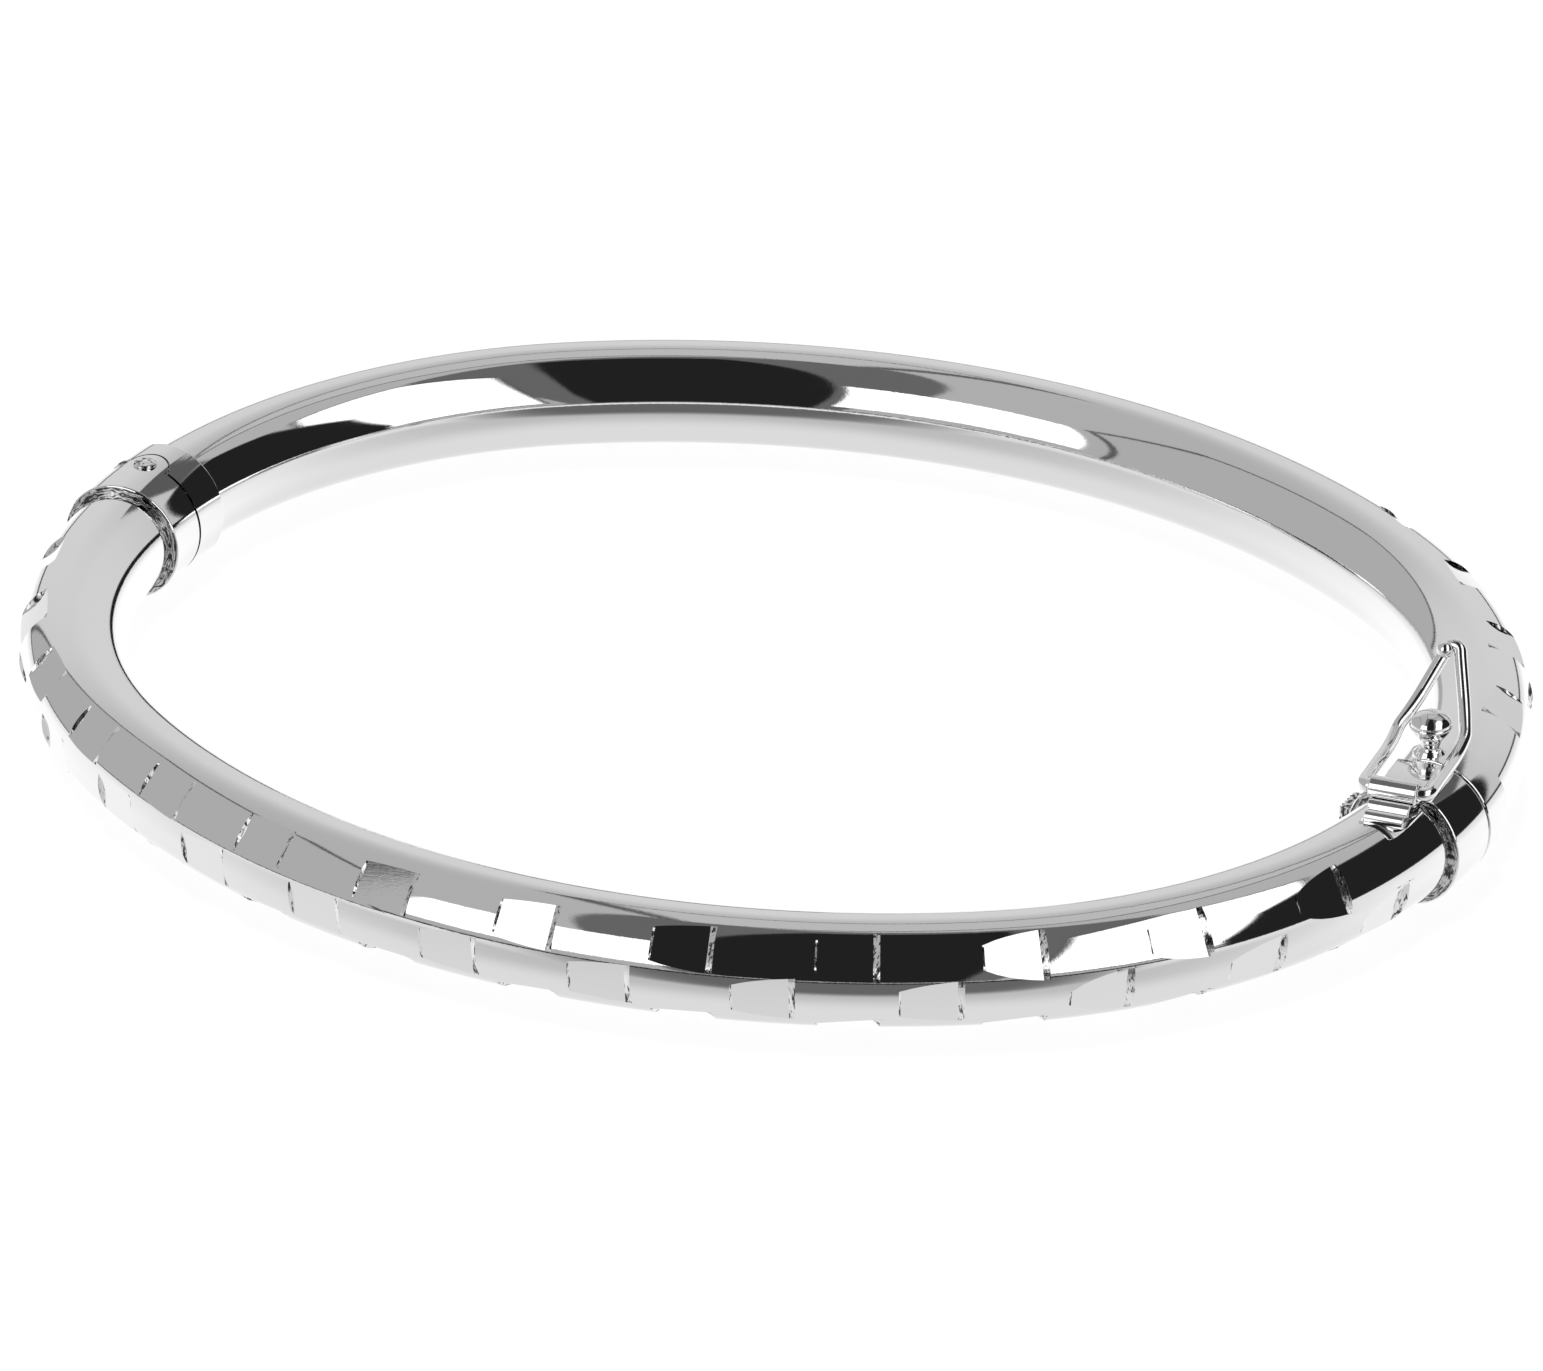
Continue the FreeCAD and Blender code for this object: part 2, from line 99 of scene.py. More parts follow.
FRONT_FLATS, FRONT_FIRST, FRONT_PITCH = 13, 8.05, 5.1
PITCH_GROWTH, GROWTH_EASE = 0.19, 0.0065
FRONT_ROW_TOP, FRONT_ROW_FALL, FRONT_FALL_START, FRONT_FALL_OVER = 41.0, 14.0, 66.0, 30.0
REAR_FLATS, REAR_PITCH = 14, 6.25
REAR_ROW_TOP, REAR_ROW_SINK, REAR_SINK_START, REAR_SINK_OVER = 55.0, 25.0, 24.0, 9.0
# Degrees that the flats tip towards the clasp: on the front half more and more from the hinge.
LEAST_LEAN, MOST_LEAN, REAR_LEAN = 0.8, 4.4, 2.2
LEAN_GROWTH, LEAN_START = 0.11, 35.0
LEAN_SPREAD, LEAN_BEAT = 0.7, 2.3
# Length of the slopes that the cutter leaves as it enters and leaves the metal.
RAMP_IN, REAR_RAMP_IN, RAMP_OUT = 0.28, 0.42, 0.08
WIRE_R = 0.30
LOOP_HALF, LOOP_CORNER, LOOP_TIP_R = 1.55, 0.42, 0.34
LOOP_FLAT, LOOP_BEND_R, LOOP_BEND = 3.4, 4.6, 48.0
LOOP_TAPER_START, LOOP_LENGTH = 5.4, 9.2
BEAD_R, BEAD_OFFSET = 0.38, 0.2
KNUCKLE_R, KNUCKLE_BORE, KNUCKLE_HALF, KNUCKLE_RIM = 0.525, 0.34, 1.12, 0.07
KNOB_R, KNOB_HALF_HEIGHT, KNOB_MIDDLE = 0.98, 0.66, 4.2

END_CENTRE = HALF_LENGTH - END_RADIUS
SIDE_RADIUS = (END_CENTRE**2 + HALF_WIDTH**2 - END_RADIUS**2) / (2 * (HALF_WIDTH - END_RADIUS))
SIDE_CENTRE = SIDE_RADIUS - HALF_WIDTH
JOIN_ANGLE = atan2(SIDE_CENTRE, END_CENTRE)
END_ARC = END_RADIUS * JOIN_ANGLE
SIDE_ARC = SIDE_RADIUS * (pi - 2 * JOIN_ANGLE)
HALF_PERIMETER = 2 * END_ARC + SIDE_ARC


def station(distance, side):
    """Centre and outward normal at a distance from the clasp seam along one half."""
    if distance <= END_ARC:
        cx, cy, radius, angle = END_CENTRE, 0.0, END_RADIUS, distance / END_RADIUS
    elif distance <= END_ARC + SIDE_ARC:
        cx, cy, radius = 0.0, -SIDE_CENTRE, SIDE_RADIUS
        angle = JOIN_ANGLE + (distance - END_ARC) / SIDE_RADIUS
    else:
        cx, cy, radius = -END_CENTRE, 0.0, END_RADIUS
        angle = pi - (HALF_PERIMETER - distance) / END_RADIUS
    normal = Vector((cos(angle), side * sin(angle), 0))
    return Vector((cx, side * cy, MID)) + normal * radius, normal


# ---- camera -----------------------------------------------------------------------------
CAMERA_TURN, CAMERA_RISE = radians(27.05), radians(27.19)
CAMERA_DISTANCE, AIM_BELOW = 502.3, 0.92
SENSOR_WIDTH, LENS = 36.0, 255.75


def add_camera():
    flat = cos(CAMERA_RISE)
    back = Vector((sin(CAMERA_TURN) * flat, -cos(CAMERA_TURN) * flat, sin(CAMERA_RISE)))
    right = UP.cross(back).normalized()
    above = back.cross(right)
    place = Vector((0, 0, MID)) + back * CAMERA_DISTANCE
    aim = Vector((0, 0, MID)) - above * AIM_BELOW
    data = bpy.data.cameras.new("camera")
    data.sensor_width, data.lens = SENSOR_WIDTH, LENS
    data.clip_start, data.clip_end = 0.01, 10.0
    camera = add_object("camera", data)
    camera.rotation_mode = "QUATERNION"
    camera.location = place * MM
    camera.rotation_quaternion = (aim - place).to_track_quat("-Z", "Y")
    bpy.context.scene.camera = camera


# ---- node graphs ------------------------------------------------------------------------
class Graph:
    """Short names for wiring a node tree."""

    def __init__(self, tree):
        self.tree = tree
        tree.nodes.clear()

    def node(self, kind, **settings):
        made = self.tree.nodes.new(kind)
        for key, value in settings.items():
            setattr(made, key, value)
        return made

    def feed(self, socket, value):
        if isinstance(value, bpy.types.NodeSocket):
            self.tree.links.new(value, socket)
        else:
            socket.default_value = value

    def math(self, operation, *values, clamp=False):
        made = self.node("ShaderNodeMath", operation=operation, use_clamp=clamp)
        for socket, value in zip(made.inputs, values):
            self.feed(socket, value)
        return made.outputs[0]

    def measure(self, operation, vector, other):
        made = self.node("ShaderNodeVectorMath", operation=operation)
        self.feed(made.inputs[0], vector)
        self.feed(made.inputs[1], other)
        return made.outputs["Value"]

    def dot(self, vector, other):
        return self.measure("DOT_PRODUCT", vector, other)

    def ramp(self, value, low, high, to_low=0.0, to_high=1.0):
        made = self.node("ShaderNodeMapRange")
        made.interpolation_type = "SMOOTHSTEP"
        for socket, item in zip(made.inputs, (value, low, high, to_low, to_high)):
            self.feed(socket, item)
        return made.outputs[0]

    def mix(self, factor, a, b):
        made = self.node("ShaderNodeMix", data_type="FLOAT")
        self.feed(made.inputs[0], factor)
        self.feed(made.inputs[2], a)
        self.feed(made.inputs[3], b)
        return made.outputs[0]

    def noise(self, vector, scale, detail=2.0, roughness=0.5):
        made = self.node("ShaderNodeTexNoise")
        self.feed(made.inputs["Vector"], vector)
        made.inputs["Scale"].default_value = scale
        made.inputs["Detail"].default_value = detail
        made.inputs["Roughness"].default_value = roughness
        return made.outputs[0]

    def scaled(self, vector, scale, rotation=(0, 0, 0)):
        made = self.node("ShaderNodeMapping")
        self.feed(made.inputs["Vector"], vector)
        made.inputs["Rotation"].default_value = rotation
        made.inputs["Scale"].default_value = scale
        return made.outputs[0]

    def bump(self, height, strength, distance, normal=None):
        made = self.node("ShaderNodeBump")
        made.inputs["Strength"].default_value = strength
        made.inputs["Distance"].default_value = distance
        self.feed(made.inputs["Height"], height)
        if normal is not None:
            self.feed(made.inputs["Normal"], normal)
        return made.outputs[0]


def add_object(name, data):
    made = bpy.data.objects.new(name, data)
    bpy.context.scene.collection.objects.link(made)
    return made


def mesh_object(name, points, faces, materials=()):
    """New object from points in millimetres."""
    mesh = bpy.data.meshes.new(name)
    mesh.from_pydata([point * MM for point in points], [], faces)
    for material in materials:
        mesh.materials.append(material)
    return add_object(name, mesh)


# ---- studio -----------------------------------------------------------------------------
def direction(azimuth, elevation):
    a, e = radians(azimuth), radians(elevation)
    return Vector((cos(e) * cos(a), cos(e) * sin(a), sin(e)))


# Panels of the light tent round the object, painted in this order. Each is its corners in
# turn (azimuth from +X, elevation), its brightness, the softness of its edge in degrees, and
# the width of the dark seam along its edge.
PANELS = [
    (((150, -3), (235, -3), (223, 46), (176, 54), (150, 42)), 0.42, 0.2, 1.2),
    (((84, 42), (125, 45), (142, 69), (92, 65)), 0.50, 0.2, 1.2),
    (((-88, 2), (-50, 2), (62, 68), (142, 67)), 0.13, 0.3, 0.0),
    (((-84, 2), (-54, 2), (92, 75), (130, 76)), 0.015, 0.3, 0.0),
    (((-123, 8), (-87, 9), (-97, 54), (-133, 45)), 1.3, 0.3, 0.0),
    (((-46, 5), (-8, 3), (51, 53), (57, 68), (-8, 71)), 1.3, 0.3, 1.2),
    (((66, 31), (97, 33), (98, 41), (68, 43)), 0.10, 0.3, 0.8),
    (((-9, -2), (54, -2), (66, 24), (67, 43), (50, 49), (7, 36), (-9, 8)), 0.015, 0.3, 0.8),
]


def panel_mask(g, ray, corners, softness, inset):
    """1 inside a panel shrunk by inset degrees, falling to 0 over its softness."""
    mask = 1.0
    ways = [direction(*corner) for corner in corners]
    for a, b in zip(ways, ways[1:] + ways[:1]):
        inward = a.cross(b).normalized()
        low, high = sin(radians(inset - softness)), sin(radians(inset + softness))
        mask = g.math("MULTIPLY", mask, g.ramp(g.dot(ray, inward), low, high))
    return mask


def world_light():
    world = bpy.data.worlds.new("studio")
    bpy.context.scene.world = world
    world.use_nodes = True
    g = Graph(world.node_tree)
    ray = g.node("ShaderNodeTexCoord").outputs["Generated"]
    rise = g.dot(ray, (0, 0, 1))
    toward = g.dot(ray, direction(112, 0))
    sky = g.ramp(toward, 0.2, 0.98, 0.42, 0.66)
    sky = g.mix(g.ramp(rise, 0.40, 0.85), sky, 0.44)
    near = g.ramp(g.dot(ray, direction(-66, 0)), 0.64, 0.94)
    floor = g.ramp(rise, -0.95, -0.45, 0.74, g.ramp(toward, -1.0, 0.9, 0.50, 1.05))
    band = g.mix(near, 0.78, 0.13)
    ground = g.mix(g.ramp(rise, g.mix(near, -0.20, -0.58), g.mix(near, -0.05, -0.34)), floor, band)
    line = g.ramp(g.math("ABSOLUTE", g.math("ADD", rise, 0.005)), 0.012, 0.028, 0.07, 1.0)
    light = g.mix(g.ramp(rise, -0.012, 0.012), ground, sky)
    light = g.math("MULTIPLY", light, line)
    for corners, level, softness, seam in PANELS:
        outer = panel_mask(g, ray, corners, softness, 0.0)
        if seam:
            light = g.mix(outer, light, 0.10)
            outer = panel_mask(g, ray, corners, softness, seam)
        light = g.mix(outer, light, level)
    seen = g.node("ShaderNodeLightPath").outputs["Is Camera Ray"]
    back = g.node("ShaderNodeBackground")
    g.feed(back.inputs["Color"], (1, 1, 1, 1))
    g.feed(back.inputs["Strength"], g.mix(seen, light, 1.0))
    out = g.node("ShaderNodeOutputWorld")
    g.feed(out.inputs[0], back.outputs[0])


def add_floor():
    """Pale back-lit floor; polished metal sees the tent's light below the horizon instead."""
    size = 900.0
    corners = [(-size, -size, 0), (size, -size, 0), (size, size, 0), (-size, size, 0)]
    floor = mesh_object("studio_floor", [Vector(c) for c in corners], [(0, 1, 2, 3)])
    material = bpy.data.materials.new("pale_floor")
    material.use_nodes = True
    g = Graph(material.node_tree)
    sheet = g.node("ShaderNodeBsdfDiffuse")
    sheet.inputs["Color"].default_value = (0.16, 0.16, 0.16, 1)
    glow = g.node("ShaderNodeEmission")
    glow.inputs["Strength"].default_value = 0.90
    paper = g.node("ShaderNodeAddShader")
    g.feed(paper.inputs[0], sheet.outputs[0])
    g.feed(paper.inputs[1], glow.outputs[0])
    clear = g.node("ShaderNodeBsdfTransparent")
    mixed = g.node("ShaderNodeMixShader")
    g.feed(mixed.inputs[0], g.node("ShaderNodeLightPath").outputs["Is Glossy Ray"])
    g.feed(mixed.inputs[1], paper.outputs[0])
    g.feed(mixed.inputs[2], clear.outputs[0])
    g.feed(g.node("ShaderNodeOutputMaterial").inputs[0], mixed.outputs[0])
    floor.data.materials.append(material)


def add_lamp(name, place, size, power):
    data = bpy.data.lights.new(name, "AREA")
    data.shape, data.size, data.energy = "DISK", size * MM, power
    lamp = add_object(name, data)
    lamp.location = Vector(place) * MM
    lamp.rotation_mode = "QUATERNION"
    lamp.rotation_quaternion = (Vector((0, 0, 0)) - Vector(place)).to_track_quat("-Z", "Y")
    lamp.visible_glossy = False


# ---- materials --------------------------------------------------------------------------
def bare_metal(name):
    """New metal material: its graph, the place on the piece in millimetres, and its shader."""
    material = bpy.data.materials.new(name)
    material.use_nodes = True
    g = Graph(material.node_tree)
    place = g.scaled(g.node("ShaderNodeTexCoord").outputs["Object"], (1 / MM,) * 3)
    shader = g.node("ShaderNodeBsdfPrincipled")
    shader.inputs["Metallic"].default_value = 1.0
    g.feed(g.node("ShaderNodeOutputMaterial").inputs[0], shader.outputs[0])
    return material, g, place, shader


def metal(name, color, low, high, grain=None, pits=None):
    """Bare polished metal: roughness drifts between low and high, with faint handling marks.

    grain is (scale along X, Y, Z, bump distance); pits is (scale, bump distance)."""
    material, g, place, shader = bare_metal(name)
    shader.inputs["Base Color"].default_value = (*color, 1)
    drift = g.noise(place, 0.35, detail=3.0)
    g.feed(shader.inputs["Roughness"], g.ramp(drift, 0.3, 0.7, low, high))
    rub = g.noise(g.scaled(place, (1.0, 9.0, 5.0), (0.3, 0.5, 0.7)), 3.0, detail=4.0)
    normal = g.bump(rub, 0.5, 0.0000012)
    if grain:
        lines = g.noise(g.scaled(place, grain[:3]), 1.0, detail=3.0, roughness=0.6)
        normal = g.bump(lines, 1.0, grain[3], normal)
    if pits:
        dents = g.noise(place, pits[0], detail=4.0, roughness=0.6)
        normal = g.bump(dents, 1.0, pits[1], normal)
    g.feed(shader.inputs["Normal"], normal)
    return material


def chatter(name, low, high):
    """Shoulder left by the cutter: bright metal with dark torn streaks; low and high set how much of
    it is painted dark, which on the rear shoulders is painted shade.
    """
    material, g, place, shader = bare_metal(name)
    streaks = g.noise(g.scaled(place, (5.0, 5.0, 1.4)), 1.0, detail=3.0, roughness=0.6)
    g.feed(shader.inputs["Base Color"], g.ramp(streaks, low, high, 0.05, 0.95))
    g.feed(shader.inputs["Roughness"], g.ramp(streaks, 0.3, 0.7, 0.12, 0.22))
    g.feed(shader.inputs["Normal"], g.bump(streaks, 1.0, 0.00002))
    return material


def lined_end(name, centre):
    """Rough end of a collar, turned: dark and bright rings about the middle of the tube."""
    material, g, place, shader = bare_metal(name)
    radius = g.measure("DISTANCE", place, centre)
    wander = g.noise(place, 0.8)
    rings = g.node("ShaderNodeCombineXYZ")
    g.feed(rings.inputs[0], g.math("MULTIPLY", g.math("ADD", radius, wander), 9.0))
    g.feed(rings.inputs[1], g.math("MULTIPLY", g.noise(place, 1.2), 6.0))
    lines = g.noise(rings.outputs[0], 1.0, detail=3.0, roughness=0.65)
    g.feed(shader.inputs["Base Color"], g.ramp(lines, 0.42, 0.62, 0.06, 0.85))
    g.feed(shader.inputs["Roughness"], g.ramp(lines, 0.3, 0.7, 0.14, 0.30))
    g.feed(shader.inputs["Normal"], g.bump(lines, 1.0, 0.00002))
    return material


SILVER = (0.955, 0.955, 0.96)
POLISH = metal("polished_silver", SILVER, 0.012, 0.045)
BRIGHT_CUT = metal("bright_cut_facet", SILVER, 0.008, 0.02, grain=(2.0, 2.0, 14.0, 0.0000008))
# The two shoulder copies differ only in how much is painted dark: the rear's is darker, as painted
# shade.
FRONT_WALL = chatter("facet_shoulder_front", 0.38, 0.50)
REAR_WALL_PAINTED_SHADE = chatter("facet_shoulder_rear_painted_shade", 0.50, 0.62)
RIVETED = chatter("riveted_head", 0.36, 0.54)
KNURLED = chatter("knurled_pad", 0.44, 0.56)
JOINT = metal("joint_metal", (0.84, 0.84, 0.85), 0.10, 0.22, grain=(6.0, 1.2, 6.0, 0.000003))
TURNED = metal("turned_metal", SILVER, 0.015, 0.05, grain=(1.0, 1.0, 18.0, 0.0000008))
WIRE = metal("catch_wire", SILVER, 0.02, 0.06, pits=(2.2, 0.000004))
SPRING = metal("spring_strip", (0.80, 0.80, 0.80), 0.14, 0.26, grain=(1.0, 1.0, 16.0, 0.000003))


# ---- mesh building ----------------------------------------------------------------------
class Skin:
    """Collects faces with their own corner normals, then makes one object."""

    def __init__(self):
        self.points, self.faces, self.normals, self.slots = [], [], [], []

    def add_points(self, points):
        first = len(self.points)
        self.points.extend(points)
        return list(range(first, first + len(points)))

    def face(self, corners, normals, slot=0):
        """Adds a face, turned so that its own normal agrees with the normals given."""
        a, b, c = (self.points[i] for i in corners[:3])
        flat = (b - a).cross(c - a)
        if len(corners) == 4 and flat.length < 1e-12:
            flat = (c - b).cross(self.points[corners[3]] - b)
        if flat.dot(sum(normals, Vector())) < 0:
            corners, normals = corners[::-1], normals[::-1]
        self.faces.append(corners)
        self.normals.extend(normals)
        self.slots.append(slot)

    def strip(self, row_a, row_b, normals_a, normals_b):
        """Band of faces between two closed rings."""
        count = len(row_a)
        for i in range(count):
            j = (i + 1) % count
            self.face([row_a[i], row_a[j], row_b[j], row_b[i]],
                      [normals_a[i], normals_a[j], normals_b[j], normals_b[i]])

    def make(self, name, materials):
        made = mesh_object(name, self.points, self.faces, materials)
        mesh = made.data
        mesh.polygons.foreach_set("material_index", self.slots)
        mesh.polygons.foreach_set("use_smooth", [True] * len(self.faces))
        mesh.normals_split_custom_set([n.normalized() for n in self.normals])
        return made


def fit(piece, body, slot, *nodes):
    """Puts a finished piece on its body in place of CAD nodes."""
    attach(piece, body)
    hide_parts(*nodes)


# ---- the two tubes ----------------------------------------------------------------------
def front_marks():
    """Facets of the front half: (distance of the middle from the clasp, row, lift)."""
    def from_hinge(i):
        return FRONT_FIRST + FRONT_PITCH * i + PITCH_GROWTH * i**2 - GROWTH_EASE * i**3
    for i in range(FRONT_FLATS):
        for row, mark in enumerate((from_hinge(i), from_hinge(i + 0.5), from_hinge(i))):
            distance = HALF_PERIMETER - mark
            yield distance, row, row_lift(distance, row, -1)


def rear_marks():
    """The same on the rear half, evenly pitched; its middle row has one flat fewer."""
    for i in range(REAR_FLATS):
        middle = REAR_PITCH * (i + 1) + FACET_LENGTH / 2
        yield middle, 0, row_lift(middle, 0, 1)
        yield middle, 2, row_lift(middle, 2, 1)
        if i < REAR_FLATS - 1:
            yield middle + REAR_PITCH / 2, 1, row_lift(middle, 1, 1)


def row_lift(distance, row, side):
    """Angle of a row of facets round the tube; the rows sink along each half."""
    if side > 0:
        sunk = min(1.0, max(0.0, (distance - REAR_SINK_START) / REAR_SINK_OVER))
        return REAR_ROW_TOP - ROW_STEP * row - REAR_ROW_SINK * sunk
    fallen = max(0.0, (HALF_PERIMETER - distance - FRONT_FALL_START) / FRONT_FALL_OVER)
    return FRONT_ROW_TOP - ROW_STEP * row - FRONT_ROW_FALL * fallen


class Facet:
    """One flat planed across the tube, with sloping ends and a slight lean of its own."""

    def __init__(self, middle, row, lift, side):
        self.row, self.start, self.end = row, middle - FACET_LENGTH / 2, middle + FACET_LENGTH / 2
        self.centre, across = station(middle, side)
        along = Vector((-across.y, across.x, 0)) * side
        out = across * cos(radians(lift)) + UP * sin(radians(lift))
        growth = LEAN_GROWTH * (HALF_PERIMETER - middle - LEAN_START)
        lean = min(MOST_LEAN, max(LEAST_LEAN, growth)) if side < 0 else REAR_LEAN
        spread = LEAN_SPREAD * sin(LEAN_BEAT * middle + row)
        self.plane = (out + along * radians(spread - lean)).normalized()
        self.ramp_in = RAMP_IN if side < 0 else REAR_RAMP_IN

    def edges(self, centre, normal):
        """Angles round the tube where the flat meets the round skin, at another section."""
        reach = (self.centre - centre).dot(self.plane) + TUBE_R - FACET_DEPTH
        level, rise = normal.dot(self.plane), self.plane.z
        half = acos(min(1.0, reach / (TUBE_R * hypot(level, rise))))
        middle = atan2(rise, level)
        return middle - half, middle + half

    def radius(self, centre, ray):
        return ((self.centre - centre).dot(self.plane) + TUBE_R - FACET_DEPTH) / ray.dot(self.plane)

    def depth_share(self, distance):
        """0 on the skin, 1 on the flat, sloping between them at the cutter's entry and exit."""
        slope_in = (distance - self.start) / self.ramp_in
        slope_out = (self.end - distance) / RAMP_OUT
        return max(0.0, min(1.0, slope_in, slope_out))


def section_angles(distance, side, active, centre, normal):
    """Angles of one ring's points, with exact points on the edges of each row of facets."""
    half = acos(1 - FACET_DEPTH / TUBE_R)
    across_flat, across_gap, across_back = 14, 3, 64
    spans = []
    for row in (2, 1, 0):
        if row in active:
            spans.append(active[row].edges(centre, normal))
        else:
            middle = radians(row_lift(distance, row, side))
            spans.append((middle - half, middle + half))
    angles, rows = [], []
    for index, (low, high) in enumerate(spans):
        following = spans[index + 1][0] if index < 2 else spans[0][0] + 2 * pi
        for step in range(across_flat):
            angles.append(low + (high - low) * step / across_flat)
            rows.append(2 - index)
        count = across_gap if index < 2 else across_back
        for step in range(count):
            angles.append(high + (following - high) * step / count)
            rows.append(None)
    return angles, rows


def facetted_tube(name, side, marks, first, last):
    """Hollow tube with flats planed on its outer side, as one skin with true normals."""
    facets = [Facet(*mark, side) for mark in marks]
    cuts = {first, last}
    for f in facets:
        cuts |= {f.start, f.start + f.ramp_in, f.end - RAMP_OUT, f.end}
    cuts = sorted(cuts)
    stations = [first]
    for begin, end in zip(cuts, cuts[1:]):
        count = max(1, round((end - begin) / 0.45))
        stations += [begin + (end - begin) * (step + 1) / count for step in range(count)]
    skin = Skin()
    before, ends = None, []
    for distance in stations:
        touching = {f.row: f for f in facets if f.start - 1e-6 <= distance <= f.end + 1e-6}
        centre, normal = station(distance, side)
        angles, rows = section_angles(distance, side, touching, centre, normal)
        rays = [normal * cos(a) + UP * sin(a) for a in angles]
        points = []
        for ray, row in zip(rays, rows):
            flat = touching.get(row)
            share = flat.depth_share(distance) if flat else 0.0
            depth = TUBE_R - min(TUBE_R, flat.radius(centre, ray)) if share > 0 else 0.0
            points.append(centre + ray * (TUBE_R - share * depth))
        ring = skin.add_points(points)
        if before:
            middle = (distance + before[0]) / 2
            active = {f.row: f for f in facets if f.start < middle < f.end}
            join_rings(skin, before, (distance, ring, rays, points), rows, active)
        before = (distance, ring, rays, points)
        if distance in (first, stations[-1]):
            ends.append((distance, ring, angles))
    add_bore(skin, side, *ends)
    # The slopes at the rear half's flats get the copy with painted shade.
    return skin.make(name, [POLISH, BRIGHT_CUT, REAR_WALL_PAINTED_SHADE if side > 0 else FRONT_WALL])


def join_rings(skin, before, after, rows, active):
    """Faces between two rings: round skin, flats, and the slopes at their ends."""
    (from_distance, ring_a, rays_a, points_a), (distance, ring_b, rays_b, points_b) = before, after
    count = len(rows)
    for i in range(count):
        j = (i + 1) % count
        flat = active.get(rows[i])
        normals, slot = [rays_a[i], rays_a[j], rays_b[j], rays_b[i]], 0
        if flat:
            on_flat = flat.depth_share((from_distance + distance) / 2) == 1.0
            if on_flat:
                normals, slot = [(flat.plane * 0.94 + n * 0.06) for n in normals], 1
            else:
                slope = (points_a[j] - points_a[i]).cross(points_b[i] - points_a[i])
                if slope.length < 1e-9:
                    slope = (points_b[j] - points_a[j]).cross(points_b[i] - points_a[j])
                slope = slope if slope.dot(rays_a[i]) > 0 else -slope
                normals, slot = [slope.normalized()] * 4, 2
        skin.face([ring_a[i], ring_a[j], ring_b[j], ring_b[i]], normals, slot)


def add_bore(skin, side, start, end):
    """Inner wall, and the two ring-shaped faces that close it to the skin's end rings."""
    (first, first_ring, from_angles), (last, last_ring, to_angles) = start, end
    steps = 60
    rings = []
    for step in range(steps + 1):
        share = step / steps
        centre, normal = station(first + (last - first) * share, side)
        turns = [a + (b - a) * share for a, b in zip(from_angles, to_angles)]
        rays = [normal * cos(turn) + UP * sin(turn) for turn in turns]
        rings.append((skin.add_points([centre + ray * BORE_R for ray in rays]), rays))
    for (a, rays_a), (b, rays_b) in zip(rings, rings[1:]):
        skin.strip(a, b, [-r for r in rays_a], [-r for r in rays_b])
    for bore, rim, distance, sign in ((rings[0], first_ring, first, -1),
                                      (rings[-1], last_ring, last, 1)):
        normal = station(distance, side)[1]
        along = [Vector((-normal.y, normal.x, 0)) * side * sign] * len(rim)
        skin.strip(bore[0], rim, along, along)


# ---- collars ----------------------------------------------------------------------------
def collar_point(place, side, distance):
    """Station of a collar: place is 'clasp' or 'hinge', distance is from that seam."""
    return station(distance if place == "clasp" else HALF_PERIMETER - distance, side)


def ring_collar(name, place, side, start, end):
    """Closed ring of the collar's section, with a small round on its outer corners."""
    around, round_r, inner = 160, COLLAR_ROUND, TUBE_R - 0.01
    corner = [radians(22.5 * step) for step in range(5)]
    profile = [(start, inner)]
    profile += [(start + round_r * (1 - cos(t)), COLLAR_R - round_r * (1 - sin(t))) for t in corner]
    flat = end - start - 2 * round_r
    profile += [(start + round_r + flat * step / 5, COLLAR_R) for step in range(1, 5)]
    profile += [(end - round_r * (1 - sin(t)), COLLAR_R - round_r * (1 - cos(t))) for t in corner]
    profile.append((end, inner))
    mesh_rings = []
    points, faces = [], []
    for distance, radius in profile:
        centre, normal = collar_point(place, side, distance)
        row = []
        for i in range(around):
            a = 2 * pi * i / around
            row.append(len(points))
            points.append(centre + (normal * cos(a) + UP * sin(a)) * radius)
        mesh_rings.append(row)
    for a, b in zip(mesh_rings, mesh_rings[1:] + mesh_rings[:1]):
        for i in range(around):
            j = (i + 1) % around
            faces.append((a[i], a[j], b[j], b[i]))
    made = mesh_object(name, points, faces)
    face_outwards(made)
    return made


def face_outwards(piece):
    """Turns every face so that its normal points out of the solid."""
    bm = bmesh.new()
    bm.from_mesh(piece.data)
    bmesh.ops.recalc_face_normals(bm, faces=bm.faces)
    bm.to_mesh(piece.data)
    bm.free()


def prism(name, outline, low, high):
    """Upright prism over an outline in plan."""
    count = len(outline)
    points = [Vector((x, y, z)) for z in (low, high) for x, y in outline]
    faces = [tuple(range(count))[::-1], tuple(range(count, 2 * count))]
    faces += [(i, (i + 1) % count, count + (i + 1) % count, count + i) for i in range(count)]
    made = mesh_object(name, points, faces)
    face_outwards(made)
    return made


def round_prism(name, radius, low, high, around=96):
    outline = [(HINGE.x + radius * cos(2 * pi * i / around), radius * sin(2 * pi * i / around))
               for i in range(around)]
    return prism(name, outline, low, high)


def carve(piece, operation, tool):
    """Applies one boolean and throws the tool away."""
    modifier = piece.modifiers.new("carve", "BOOLEAN")
    modifier.operation, modifier.object, modifier.solver = operation, tool, "EXACT"
    bpy.context.view_layer.update()
    graph = bpy.context.evaluated_depsgraph_get()
    mesh = bpy.data.meshes.new_from_object(piece.evaluated_get(graph))
    piece.modifiers.clear()
    piece.data = mesh
    bpy.data.objects.remove(tool)


